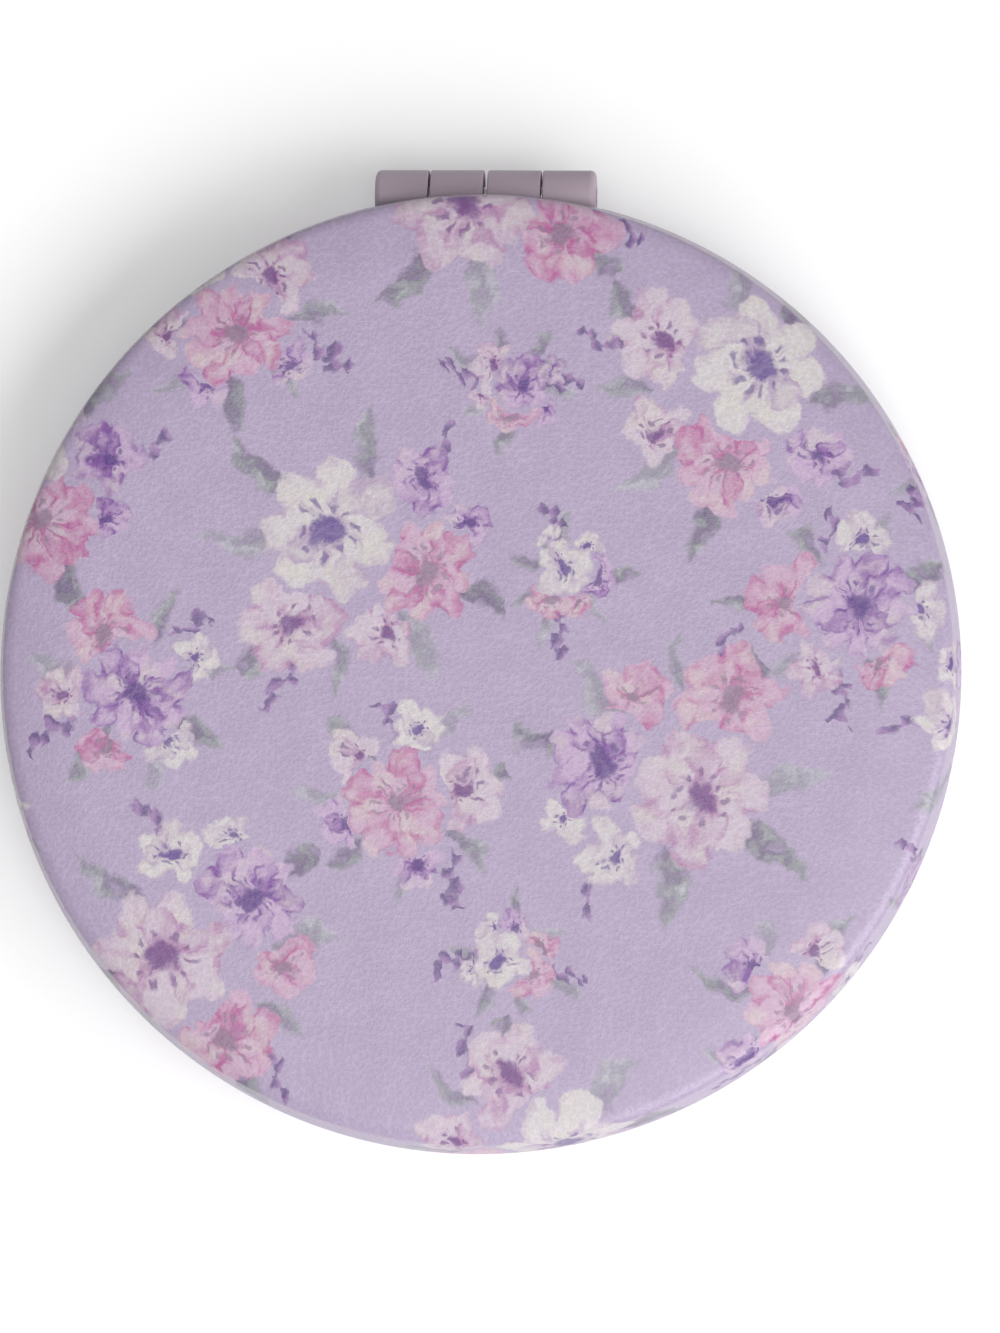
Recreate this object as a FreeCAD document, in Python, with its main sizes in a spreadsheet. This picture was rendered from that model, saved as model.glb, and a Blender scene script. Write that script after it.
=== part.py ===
import FreeCAD, Part
import math
import os

import Sketcher

# Round compact mirror: two leather-covered halves on a barrel hinge, a mirror in each.
# Closed and lying flat. Origin at the centre of the base's outer face, +Z up through the lid,
# the hinge at +Y with its pin along X. Both halves are the same mouldings, the lid's turned over.

# Driving dimensions, in millimetres.
SIZES = {
    # The case over its leather, and the air between the closed halves.
    "case_diameter": 70.0,
    "parting_gap": 0.2,
    # Leather: flat field, soft shoulder, roll and tighter edge, leaning side wall, turned-in hem.
    "leather_thickness": 0.5,
    "shoulder_width": 5.1,
    "shoulder_radius": 40.0,
    "roll_width": 0.7,
    "roll_radius": 1.9,
    "wall_slope": 0.21,
    "fold_radius": 0.5,
    "hem_thickness": 0.35,
    "hem_length": 1.0,
    # Foam disc under the leather, which ends inside the shoulder.
    "padding_thickness": 1.0,
    "padding_inset": 1.6,
    # Cap, the dish that the leather is wrapped over.
    "cap_floor": 0.9,
    "cap_wall": 1.0,
    "cap_edge_radius": 0.1,
    # Frame: the moulding that carries the mirror and the hinge knuckles.
    "frame_floor": 0.8,
    "pocket_wall": 0.9,
    "flange_thickness": 1.1,
    "flange_setback": 0.4,
    "flange_edge_round": 0.3,
    "rib_thickness": 0.8,
    "rib_height": 1.1,
    "rib_clearance": 0.05,
    "pocket_bevel": 0.25,
    # Nail nick at the front of each flange.
    "nick_radius": 8.0,
    "nick_depth": 0.9,
    "nick_height": 0.6,
    # Mirrors and the tape that holds them.
    "glass_thickness": 1.3,
    "glass_bevel": 0.3,
    "mirror_clearance": 0.15,
    "mirror_recess": 0.65,
    "magnifier_radius": 900.0,
    "tape_thickness": 0.25,
    "tape_inset": 1.0,
    # Closing magnets, glued into bosses under the flanges.
    "magnet_diameter": 3.0,
    "magnet_thickness": 1.1,
    "magnet_clearance": 0.05,
    "magnet_cover": 0.5,
    "magnet_sink": 0.1,
    "boss_wall": 0.6,
    # Barrel hinge: base knuckles outside, lid knuckles inside, one steel pin.
    "hinge_width": 16.2,
    "hinge_offset": 0.05,
    "barrel_diameter": 3.9,
    "barrel_edge_round": 0.1,
    "barrel_end_round": 0.45,
    "knuckle_gap": 0.15,
    "centre_gap": 0.3,
    "hinge_clearance": 0.3,
    "notch_clearance": 0.4,
    "pin_diameter": 1.5,
    "pin_chamfer": 0.2,
    "pin_recess": 0.4,
    "pin_press_clearance": 0.02,
    "pin_running_clearance": 0.05,
}
FULL_TURN = 360.0
HALF_TURN = 180.0

doc = FreeCAD.newDocument("CompactMirror")
sheet = doc.addObject("Spreadsheet::Sheet", "Sizes")


class Length:
    """A length in the sheet, or one worked out from several: its expression and its present value."""

    def __init__(self, text, value):
        self.text = text
        self.value = value

    def joined(self, sign, other, value):
        return Length(f"({self.text} {sign} {words(other)})", value)

    def __add__(self, other):
        return self.joined("+", other, self.value + amount(other))

    def __sub__(self, other):
        return self.joined("-", other, self.value - amount(other))

    def __mul__(self, other):
        return self.joined("*", other, self.value * amount(other))

    def __truediv__(self, other):
        return self.joined("/", other, self.value / amount(other))

    def __neg__(self):
        return Length(f"(0 - {self.text})", -self.value)


def words(length):
    return length.text if isinstance(length, Length) else str(length)


def amount(length):
    return length.value if isinstance(length, Length) else length


def root(square):
    return Length(f"sqrt({square.text})", math.sqrt(square.value))


def fill_sheet():
    """Writes the driving dimensions into the sheet and returns them by name."""
    cells = {}
    for row, (name, value) in enumerate(SIZES.items(), start=1):
        sheet.set(f"A{row}", name.replace("_", " "))
        sheet.set(f"B{row}", str(value))
        sheet.setAlias(f"B{row}", name)
        cells[name] = Length(f"{sheet.Name}.{name}", value)
    doc.recompute()
    return cells


size = fill_sheet()

# Levels, up from a half's outer face.
leather_back = size["leather_thickness"]
padding_back = leather_back + size["padding_thickness"]
cap_inside = padding_back + size["cap_floor"]
mirror_seat = cap_inside + size["frame_floor"]
glass_back = mirror_seat + size["tape_thickness"]
glass_front = glass_back + size["glass_thickness"]
flange_top = glass_front + size["mirror_recess"]
flange_under = flange_top - size["flange_thickness"]
hinge_level = flange_top + size["parting_gap"] / 2
case_thickness = hinge_level * 2
wall_end = flange_under - leather_back
hem_end = flange_under - size["hem_length"]
rib_end = flange_under - size["rib_height"]
magnet_front = flange_top - size["magnet_cover"]
magnet_back = magnet_front - size["magnet_thickness"]
boss_end = magnet_back - size["magnet_sink"]

# Radii, in from the leather.
case_radius = size["case_diameter"] / 2
cap_radius = case_radius - size["leather_thickness"]
cap_inner_radius = cap_radius - size["cap_wall"]
hem_radius = cap_inner_radius - size["hem_thickness"]
rib_radius = hem_radius - size["rib_clearance"]
rib_inner_radius = rib_radius - size["rib_thickness"]
flange_radius = case_radius - size["flange_setback"]
magnet_pocket_radius = size["magnet_diameter"] / 2 + size["magnet_clearance"]
boss_radius = magnet_pocket_radius + size["boss_wall"]
boss_place = rib_inner_radius + size["rib_thickness"] / 2 - boss_radius
pocket_radius = boss_place - boss_radius - size["pocket_wall"] / 2
pocket_outer_radius = pocket_radius + size["pocket_wall"]
mirror_radius = pocket_radius - size["mirror_clearance"]

# The section's bends: the shoulder starts level at the flat field and runs into the roll, the roll
# into the edge and the edge into the side wall, which leans out towards the fold. Each leather bend
# and the one on its back share a centre, so the edge is as round as the cap's edge and the leather
# make it. Sines and cosines are those of the angle from straight out of the face.
edge_radius = size["cap_edge_radius"] + size["leather_thickness"]
shoulder_sine = size["shoulder_width"] / size["shoulder_radius"]
shoulder_cosine = root(-(shoulder_sine * shoulder_sine) + 1)
roll_sine = shoulder_sine + size["roll_width"] / size["roll_radius"]
roll_cosine = root(-(roll_sine * roll_sine) + 1)
wall_sine = Length("1", 1) / root(size["wall_slope"] * size["wall_slope"] + 1)
wall_cosine = size["wall_slope"] * wall_sine
shoulder_less_roll = size["shoulder_radius"] - size["roll_radius"]
roll_less_edge = size["roll_radius"] - edge_radius
roll_level = size["shoulder_radius"] - shoulder_less_roll * shoulder_cosine
edge_level = roll_level - roll_less_edge * roll_cosine
fold_level = flange_under - size["fold_radius"]
wall_height = fold_level - edge_level + edge_radius * wall_cosine
edge_centre = case_radius - edge_radius * wall_sine - wall_height * size["wall_slope"]
roll_centre = edge_centre - roll_less_edge * roll_sine
field_radius = roll_centre - shoulder_less_roll * shoulder_sine
shoulder_middle = (field_radius, size["shoulder_radius"])
roll_middle = (roll_centre, roll_level)
edge_middle = (edge_centre, edge_level)


def on_bend(middle, radius, sine, cosine):
    """The point of a bend at the angle with this sine and cosine."""
    return middle[0] + radius * sine, middle[1] - radius * cosine


def bends(depth):
    """The section's bends at a depth under the leather's face: end point, radius and centre of each."""
    steps = []
    for middle, face_radius, sine, cosine in (
            (shoulder_middle, size["shoulder_radius"], shoulder_sine, shoulder_cosine),
            (roll_middle, size["roll_radius"], roll_sine, roll_cosine),
            (edge_middle, edge_radius, wall_sine, wall_cosine)):
        radius = face_radius - depth
        steps.append((on_bend(middle, radius, sine, cosine), radius, middle))
    return steps


face_bends = bends(0)
back_bends = bends(size["leather_thickness"])
wall_back_start = back_bends[-1][0]
wall_back_end = wall_back_start[0] + (wall_end - wall_back_start[1]) * size["wall_slope"]
padding_radius = field_radius + size["shoulder_width"] - size["padding_inset"]
padding_run = padding_radius - field_radius
backing_radius = size["shoulder_radius"] - size["leather_thickness"]
padding_drop = root(backing_radius * backing_radius - padding_run * padding_run)
padding_rim_level = size["shoulder_radius"] - padding_drop

# Hinge, about its axis at the parting plane.
hinge_axis = case_radius + size["hinge_offset"]
barrel_radius = size["barrel_diameter"] / 2
relief_radius = barrel_radius + size["hinge_clearance"]
relief_half_width = size["hinge_width"] / 2 + size["hinge_clearance"]
notch_level = hinge_level - barrel_radius - size["notch_clearance"]
knuckle_length = (size["hinge_width"] - size["centre_gap"] - size["knuckle_gap"] * 2) / 4
inner_knuckle_start = size["centre_gap"] / 2
inner_knuckle_end = inner_knuckle_start + knuckle_length
outer_knuckle_start = inner_knuckle_end + size["knuckle_gap"]
outer_knuckle_end = outer_knuckle_start + knuckle_length
pin_radius = size["pin_diameter"] / 2
pin_half_length = size["hinge_width"] / 2 - size["pin_recess"]

# Each half: whether it is turned over, its knuckle on the +X side from start to end with the round at
# that end, and its pin clearance.
HALVES = {
    "base": (False, (outer_knuckle_start, outer_knuckle_end, size["barrel_end_round"]),
             size["pin_press_clearance"]),
    "lid": (True, (inner_knuckle_start, inner_knuckle_end, size["barrel_edge_round"]),
            size["pin_running_clearance"]),
}


def bind(thing, **lengths):
    """Ties properties of a feature to the sheet."""
    for name, length in lengths.items():
        thing.setExpression(name, words(length))


def line_to(x, y):
    return {"x": x, "y": y}


def arc_to(x, y, radius, centre, turn):
    """An arc to (x, y); turn is 1 where the outline goes round its centre anticlockwise, else -1."""
    return {"x": x, "y": y, "radius": radius, "centre": centre, "turn": turn}


def draw_outline(sketch, steps):
    """Draws a closed outline through the steps and dimensions every corner and radius from the sheet."""
    def point(step):
        return FreeCAD.Vector(amount(step["x"]), amount(step["y"]), 0)

    ends = []
    for before, step in zip([steps[-1]] + steps[:-1], steps):
        if "radius" not in step:
            sketch.addGeometry(Part.LineSegment(point(before), point(step)))
            ends.append((1, 2))
            continue
        centre = FreeCAD.Vector(*[amount(length) for length in step["centre"]], 0)
        first, last = (before, step) if step["turn"] > 0 else (step, before)
        angles = [math.atan2(*reversed((point(p) - centre)[:2])) for p in (first, last)]
        circle = Part.Circle(centre, FreeCAD.Vector(0, 0, 1), amount(step["radius"]))
        sketch.addGeometry(Part.ArcOfCircle(circle, *angles))
        ends.append((1, 2) if step["turn"] > 0 else (2, 1))
    for number, step in enumerate(steps):
        following = (number + 1) % len(steps)
        end = ends[number][1]
        sketch.addConstraint(Sketcher.Constraint("Coincident", number, end, following, ends[following][0]))
        for kind, length, axis in (("DistanceX", step["x"], -2), ("DistanceY", step["y"], -1)):
            if not isinstance(length, Length):
                sketch.addConstraint(Sketcher.Constraint("PointOnObject", number, end, axis))
                continue
            made = sketch.addConstraint(Sketcher.Constraint(kind, -1, 1, number, end, length.value))
            sketch.setExpression(f"Constraints[{made}]", length.text)
        if "radius" in step:
            made = sketch.addConstraint(Sketcher.Constraint("Radius", number, amount(step["radius"])))
            sketch.setExpression(f"Constraints[{made}]", words(step["radius"]))


def draw_circle(sketch, x, y, radius):
    """Draws a circle and dimensions its centre and radius from the sheet."""
    centre = FreeCAD.Vector(amount(x), amount(y), 0)
    sketch.addGeometry(Part.Circle(centre, FreeCAD.Vector(0, 0, 1), radius.value))
    for kind, length, axis in (("DistanceX", x, -2), ("DistanceY", y, -1)):
        if not isinstance(length, Length):
            sketch.addConstraint(Sketcher.Constraint("PointOnObject", 0, 3, axis))
            continue
        made = sketch.addConstraint(Sketcher.Constraint(kind, -1, 1, 0, 3, length.value))
        sketch.setExpression(f"Constraints[{made}]", length.text)
    made = sketch.addConstraint(Sketcher.Constraint("Radius", 0, radius.value))
    sketch.setExpression(f"Constraints[{made}]", radius.text)


def rectangle(left, bottom, right, top):
    return [line_to(left, bottom), line_to(right, bottom), line_to(right, top), line_to(left, top)]


def new_body(name):
    body = doc.addObject("PartDesign::Body", name)
    body.Label = name
    return body


def new_sketch(body, name, plane, **offset):
    """A sketch on one of the body's own origin planes, moved by an offset that follows the sheet."""
    sketch = body.newObject("Sketcher::SketchObject", name)
    support = next(f for f in body.Origin.OriginFeatures if f.Role == plane)
    sketch.AttachmentSupport = [(support, "")]
    sketch.MapMode = "FlatFace"
    for axis, length in offset.items():
        sketch.setExpression(f"AttachmentOffset.Base.{axis}", words(length))
    return sketch


def add(body, kind, name, sketch, **settings):
    """A sketch-based feature of the body, with its plain settings."""
    feature = body.newObject(f"PartDesign::{kind}", name)
    feature.Profile = sketch
    for setting, value in settings.items():
        setattr(feature, setting, value)
    return feature


def turned(body, name, steps):
    """Revolves a half section, drawn on the XZ plane, about the case's axis."""
    sketch = new_sketch(body, f"{name}_section", "XZ_Plane")
    draw_outline(sketch, steps)
    return add(body, "Revolution", name, sketch, ReferenceAxis=(sketch, ["V_Axis"]), Angle=FULL_TURN)


def hinge_sketch(body, name):
    """A sketch at the parting plane whose horizontal axis is the hinge's axis."""
    return new_sketch(body, name, "XY_Plane", y=hinge_axis, z=hinge_level)


def seat(piece, half, y=0, level=0):
    """Puts a piece into its half: as modelled in the base, turned over about Y in the lid."""
    is_turned = HALVES[half][0]
    rotation = FreeCAD.Rotation(FreeCAD.Vector(0, 1, 0), HALF_TURN if is_turned else 0)
    place = case_thickness - level if is_turned else level
    piece.Placement = FreeCAD.Placement(FreeCAD.Vector(0, amount(y), amount(place)), rotation)
    for axis, length in (("y", y), ("z", place)):
        if isinstance(length, Length):
            piece.setExpression(f"Placement.Base.{axis}", length.text)
    return piece


def cut_hinge_notch(body):
    """Opens the side wall of a cover where the hinge barrel passes."""
    sketch = new_sketch(body, "hinge_notch_outline", "XZ_Plane")
    draw_outline(sketch, rectangle(-relief_half_width, notch_level, relief_half_width, hinge_level))
    notch = add(body, "Pocket", "hinge_notch", sketch, Type="Length")
    bind(notch, Length=hinge_axis)


def leather_cover(half):
    """Printed leather, wrapped over the foam and the cap, its skived hem turned in under the flange."""
    body = new_body(f"{half}_leather")
    fold = size["fold_radius"]
    back_ends = [(field_radius, leather_back)] + [end for end, _, _ in back_bends]
    turned(body, "wrapped_sheet", [
        line_to(0, 0),
        line_to(field_radius, 0),
        *[arc_to(*end, radius, middle, 1) for end, radius, middle in face_bends],
        line_to(case_radius, fold_level),
        arc_to(case_radius - fold, flange_under, fold, (case_radius - fold, fold_level), 1),
        line_to(hem_radius, flange_under),
        line_to(hem_radius, hem_end),
        line_to(cap_inner_radius, hem_end),
        line_to(cap_inner_radius, wall_end),
        line_to(wall_back_end, wall_end),
        line_to(*wall_back_start),
        *[arc_to(*start, radius, middle, -1)
          for start, (_, radius, middle) in reversed(list(zip(back_ends, back_bends)))],
        line_to(0, leather_back),
    ])
    cut_hinge_notch(body)
    return seat(body, half)


def foam_padding(half):
    """Thin foam disc, drawn down at its rim by the leather."""
    body = new_body(f"{half}_padding")
    turned(body, "foam_disc", [
        line_to(0, leather_back),
        line_to(field_radius, leather_back),
        arc_to(padding_radius, padding_rim_level, backing_radius, shoulder_middle, 1),
        line_to(padding_radius, padding_back),
        line_to(0, padding_back),
    ])
    return seat(body, half)


def cap(half):
    """Moulded dish with a shallow recess for the foam and a wall that the leather wraps."""
    body = new_body(f"{half}_cap")
    turned(body, "dish", [
        line_to(0, padding_back),
        line_to(padding_radius, padding_back),
        line_to(padding_radius, padding_rim_level),
        *[arc_to(*end, radius, middle, 1) for end, radius, middle in back_bends],
        line_to(wall_back_end, wall_end),
        line_to(cap_inner_radius, wall_end),
        line_to(cap_inner_radius, cap_inside),
        line_to(0, cap_inside),
    ])
    cut_hinge_notch(body)
    return seat(body, half)


def frame(half):
    """Moulded frame: mirror pocket, flange over the leather's hem, snap rib, magnet boss and knuckles."""
    _, knuckle, pin_clearance = HALVES[half]
    body = new_body(f"{half}_frame")
    edge = size["flange_edge_round"]
    bevel = size["pocket_bevel"]
    turned(body, "tray", [
        line_to(0, cap_inside),
        line_to(pocket_outer_radius, cap_inside),
        line_to(pocket_outer_radius, flange_under),
        line_to(rib_inner_radius, flange_under),
        line_to(rib_inner_radius, rib_end),
        line_to(rib_radius, rib_end),
        line_to(rib_radius, flange_under),
        line_to(flange_radius - edge, flange_under),
        arc_to(flange_radius, flange_under + edge, edge, (flange_radius - edge, flange_under + edge), 1),
        line_to(flange_radius, flange_top - edge),
        arc_to(flange_radius - edge, flange_top, edge, (flange_radius - edge, flange_top - edge), 1),
        line_to(pocket_radius + bevel, flange_top),
        line_to(pocket_radius, flange_top - bevel),
        line_to(pocket_radius, mirror_seat),
        line_to(0, mirror_seat),
    ])
    add_magnet_boss(body)
    cut_nail_nick(body)
    add_knuckles(body, *knuckle)
    bore = new_sketch(body, "pin_bore_outline", "YZ_Plane")
    draw_circle(bore, hinge_axis, hinge_level, pin_radius + pin_clearance)
    add(body, "Pocket", "pin_bore", bore, Type="ThroughAll", SideType="Symmetric")
    return seat(body, half)


def add_magnet_boss(body):
    """Round boss between the pocket wall and the rib, with a blind pocket for the magnet."""
    outline = new_sketch(body, "boss_outline", "XY_Plane", z=boss_end)
    draw_circle(outline, 0, -boss_place, boss_radius)
    boss = add(body, "Pad", "magnet_boss", outline)
    bind(boss, Length=magnet_front - boss_end)
    hole = new_sketch(body, "magnet_pocket_outline", "XY_Plane", z=boss_end)
    draw_circle(hole, 0, -boss_place, magnet_pocket_radius)
    pocket = add(body, "Pocket", "magnet_pocket", hole, Type="Length", Reversed=True)
    bind(pocket, Length=magnet_front - boss_end)


def cut_nail_nick(body):
    """Shallow scallop in the flange's front edge, for a fingernail."""
    outline = new_sketch(body, "nick_outline", "XY_Plane", z=flange_top)
    nick_centre = flange_radius + size["nick_radius"] - size["nick_depth"]
    draw_circle(outline, 0, -nick_centre, size["nick_radius"])
    nick = add(body, "Pocket", "nail_nick", outline, Type="Length")
    bind(nick, Length=size["nick_height"])


def add_knuckles(body, start, end, end_round):
    """Clears the flange round the hinge barrel, then adds one knuckle and mirrors it across the case."""
    clearing = hinge_sketch(body, "relief_outline")
    draw_outline(clearing, rectangle(-relief_half_width, 0, relief_half_width, relief_radius))
    add(body, "Groove", "hinge_relief", clearing, ReferenceAxis=(clearing, ["H_Axis"]), Angle=FULL_TURN)
    edge = size["barrel_edge_round"]
    section = hinge_sketch(body, "barrel_section")
    draw_outline(section, [
        line_to(start, 0),
        line_to(end, 0),
        line_to(end, barrel_radius - end_round),
        arc_to(end - end_round, barrel_radius, end_round, (end - end_round, barrel_radius - end_round), 1),
        line_to(start + edge, barrel_radius),
        arc_to(start, barrel_radius - edge, edge, (start + edge, barrel_radius - edge), 1),
    ])
    barrel = add(body, "Revolution", "barrel", section, ReferenceAxis=(section, ["H_Axis"]),
                 Angle=FULL_TURN)
    side = new_sketch(body, "arm_side", "YZ_Plane", z=start + edge)
    draw_outline(side, rectangle(rib_inner_radius, flange_under, hinge_axis, flange_top))
    arm = add(body, "Pad", "arm", side)
    bind(arm, Length=end - end_round - start - edge)
    pair = body.newObject("PartDesign::Mirrored", "knuckle_pair")
    pair.Originals = [barrel, arm]
    pair.MirrorPlane = (next(f for f in body.Origin.OriginFeatures if f.Role == "YZ_Plane"), [""])
    body.Tip = pair


def flat_mirror(half):
    """Plane glass disc with a ground bevel round its face."""
    body = new_body(f"{half}_mirror")
    bevel = size["glass_bevel"]
    turned(body, "glass_disc", [
        line_to(0, glass_back),
        line_to(mirror_radius, glass_back),
        line_to(mirror_radius, glass_front - bevel),
        line_to(mirror_radius - bevel, glass_front),
        line_to(0, glass_front),
    ])
    return seat(body, half)


def magnifying_mirror(half):
    """Glass disc with a flat back and a hollow face, which magnifies."""
    body = new_body(f"{half}_mirror")
    bevel = size["glass_bevel"]
    face_radius = mirror_radius - bevel
    curve = size["magnifier_radius"]
    rim_front = glass_front + curve - root(curve * curve - face_radius * face_radius)
    turned(body, "glass_disc", [
        line_to(0, glass_back),
        line_to(mirror_radius, glass_back),
        line_to(mirror_radius, rim_front - bevel),
        line_to(face_radius, rim_front),
        arc_to(0, glass_front, curve, (0, glass_front + curve), -1),
    ])
    return seat(body, half)


def mirror_tape(half):
    """Double-sided tape disc between the mirror and its seat."""
    tape = doc.addObject("Part::Cylinder", f"{half}_mirror_tape")
    tape.Label = f"{half}_mirror_tape"
    bind(tape, Radius=mirror_radius - size["tape_inset"], Height=size["tape_thickness"])
    return seat(tape, half, level=mirror_seat)


def closing_magnet(half):
    """Disc magnet at the front of the flange, facing its twin in the other half."""
    magnet = doc.addObject("Part::Cylinder", f"{half}_magnet")
    magnet.Label = f"{half}_magnet"
    bind(magnet, Radius=size["magnet_diameter"] / 2, Height=size["magnet_thickness"])
    return seat(magnet, half, y=-boss_place, level=magnet_back)


def hinge_pin():
    """Steel pin, pressed into the base's knuckles and turning in the lid's."""
    body = new_body("hinge_pin")
    chamfer = size["pin_chamfer"]
    section = hinge_sketch(body, "pin_section")
    draw_outline(section, [
        line_to(-pin_half_length, 0),
        line_to(pin_half_length, 0),
        line_to(pin_half_length, pin_radius - chamfer),
        line_to(pin_half_length - chamfer, pin_radius),
        line_to(-pin_half_length + chamfer, pin_radius),
        line_to(-pin_half_length, pin_radius - chamfer),
    ])
    add(body, "Revolution", "pin", section, ReferenceAxis=(section, ["H_Axis"]), Angle=FULL_TURN)
    return body


def check(pieces):
    """Stops if an object failed to compute, a cut took nothing away or a piece isn't one sound solid."""
    for thing in doc.Objects:
        if {"Invalid", "Error"} & set(thing.State):
            raise RuntimeError(f"{thing.Label} failed: {thing.State}")
        is_cut = thing.TypeId in ("PartDesign::Pocket", "PartDesign::Groove")
        if is_cut and thing.Shape.Volume >= thing.BaseFeature.Shape.Volume:
            raise RuntimeError(f"{thing.Label} cut nothing")
    for piece in pieces:
        shape = piece.Shape
        if shape.isNull() or not shape.isValid() or len(shape.Solids) != 1:
            raise RuntimeError(f"{piece.Label} isn't one sound solid")


def build():
    """Makes every piece, checks it and writes one STEP file for each."""
    pieces = [hinge_pin()]
    for half in HALVES:
        pieces += [leather_cover(half), foam_padding(half), cap(half), frame(half)]
        pieces += [mirror_tape(half), closing_magnet(half)]
    pieces += [magnifying_mirror("base"), flat_mirror("lid")]
    doc.recompute()
    check(pieces)
    os.makedirs("parts", exist_ok=True)
    for piece in pieces:
        piece.Shape.exportStep(f"parts/{piece.Label}.step")
        print(f"{piece.Label}: {piece.Shape.Volume:.2f} mm3, {piece.Shape.BoundBox}")


build()
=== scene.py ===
import math

import bpy
from mathutils import Matrix, Vector


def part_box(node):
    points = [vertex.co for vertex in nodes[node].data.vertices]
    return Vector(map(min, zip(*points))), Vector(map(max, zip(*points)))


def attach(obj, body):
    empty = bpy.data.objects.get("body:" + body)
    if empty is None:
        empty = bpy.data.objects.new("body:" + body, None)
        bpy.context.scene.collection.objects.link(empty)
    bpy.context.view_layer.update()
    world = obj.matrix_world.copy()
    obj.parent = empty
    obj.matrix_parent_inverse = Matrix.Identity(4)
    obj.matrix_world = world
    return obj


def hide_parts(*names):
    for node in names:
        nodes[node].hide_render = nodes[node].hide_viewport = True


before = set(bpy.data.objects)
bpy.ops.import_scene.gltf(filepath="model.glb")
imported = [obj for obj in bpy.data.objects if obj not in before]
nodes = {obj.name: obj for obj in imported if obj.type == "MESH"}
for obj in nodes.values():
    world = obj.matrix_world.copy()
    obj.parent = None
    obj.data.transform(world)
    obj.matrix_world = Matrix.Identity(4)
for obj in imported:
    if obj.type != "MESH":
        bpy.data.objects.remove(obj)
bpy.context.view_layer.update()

# Caps: the two dishes that the covers are wrapped over, injection moulded in grey-mauve ABS.
# The mould is spark eroded, so they have a fine matt tooth for the glue. The frames close them
# from inside, and nothing of them shows but a sliver in the hinge notch.

HALVES = ("base", "lid")
CAP_TOOTH = 0.00012
CAP_ROUGHNESS = 0.55
MELT_DRIFTS = 90.0
GRIT_SHARE = 0.3


class Ink:
    """One output of a material's nodes. Arithmetic on it adds Math nodes to the same material."""

    def __init__(self, tree, socket=None):
        self.tree = tree
        self.socket = socket

    def node(self, kind, settings, sockets, out=None):
        """Adds a node: its settings first, then the values or links of its sockets. Gives one output."""
        made = self.tree.nodes.new(kind)
        for name, value in settings.items():
            if name == "stops":
                self.set_stops(made.color_ramp, *value)
            else:
                setattr(made, name, value)
        for name, value in sockets.items():
            named = [s for s in made.inputs if s.enabled and s.name == name]
            socket = made.inputs[name] if isinstance(name, int) else named[0]
            if isinstance(value, Ink):
                self.tree.links.new(value.socket, socket)
            else:
                socket.default_value = value
        shown = [s for s in made.outputs if s.enabled and out in (None, s.name)]
        return Ink(self.tree, shown[0] if shown else None)

    @staticmethod
    def set_stops(ramp, interpolation, stops):
        ramp.interpolation = interpolation
        while len(ramp.elements) < len(stops):
            ramp.elements.new(1.0)
        for element, (position, colour) in zip(ramp.elements, stops):
            element.position = position
            element.color = colour

    def math(self, operation, *values):
        return self.node("ShaderNodeMath", {"operation": operation}, dict(enumerate(values)))

    def __add__(self, other):
        return self.math("ADD", self, other)

    __radd__ = __add__

    def __sub__(self, other):
        return self.math("SUBTRACT", self, other)

    def __rsub__(self, other):
        return self.math("SUBTRACT", other, self)

    def __mul__(self, other):
        return self.math("MULTIPLY", self, other)

    __rmul__ = __mul__

    def __truediv__(self, other):
        return self.math("DIVIDE", self, other)

    def __rtruediv__(self, other):
        return self.math("DIVIDE", other, self)

    def __mod__(self, other):
        return self.math("MODULO", self, other)

    def __rmod__(self, other):
        return self.math("MODULO", other, self)

    def __neg__(self):
        return self * -1

    def __abs__(self):
        return self.math("ABSOLUTE", self)

    def __floor__(self):
        return self.math("FLOOR", self)

    def __lt__(self, other):
        return self.math("LESS_THAN", self, other)

    def __gt__(self, other):
        return self.math("GREATER_THAN", self, other)

    def rise(self, low, high):
        """0 at low and 1 at high, with a soft start and end; low may be the larger."""
        return self.node("ShaderNodeMapRange", {"interpolation_type": "SMOOTHSTEP"},
                         {"Value": self, "From Min": low, "From Max": high})

    def vector(self, operation, *values):
        return self.node("ShaderNodeVectorMath", {"operation": operation}, dict(enumerate(values)))

    def parts(self):
        return [self.node("ShaderNodeSeparateXYZ", {}, {"Vector": self}, out) for out in "XYZ"]

    def mix(self, share, first, second, kind="RGBA"):
        """From first to second by a share: colours, or with another kind vectors or numbers."""
        return self.node("ShaderNodeMix", {"data_type": kind}, {"Factor": share, "A": first, "B": second})

    def noise(self, place, scale, detail=2.0, out="Fac", dimensions="3D"):
        return self.node("ShaderNodeTexNoise", {"noise_dimensions": dimensions},
                         {"Vector": place, "Scale": scale, "Detail": detail}, out)

    def bump(self, height, strength, distance):
        return self.node("ShaderNodeBump", {},
                         {"Strength": strength, "Distance": distance, "Height": height})


def tint(red, green, blue):
    """A colour as a screen shows it, 0 to 255, in the shader's linear scale."""
    def linear(level):
        share = level / 255
        return share / 12.92 if share <= 0.04045 else ((share + 0.055) / 1.055) ** 2.4

    return (linear(red), linear(green), linear(blue), 1.0)


def new_finish(name, **constants):
    """An empty material with one shader: returns it, an ink to draw with, and the shader's inputs."""
    material = bpy.data.materials.new(name)
    material.use_nodes = True
    shader = material.node_tree.nodes["Principled BSDF"]
    for socket, value in constants.items():
        shader.inputs[socket.replace("_", " ")].default_value = value
    return material, Ink(material.node_tree), shader.inputs


def feed(inputs, **sockets):
    """Links what varies over the surface to the shader."""
    for name, ink in sockets.items():
        ink.tree.links.new(ink.socket, inputs[name.replace("_", " ")])


def coat_node(name, material):
    """Gives a node of the model its finish."""
    node = nodes[name]
    node.data.materials.clear()
    node.data.materials.append(material)


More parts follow.
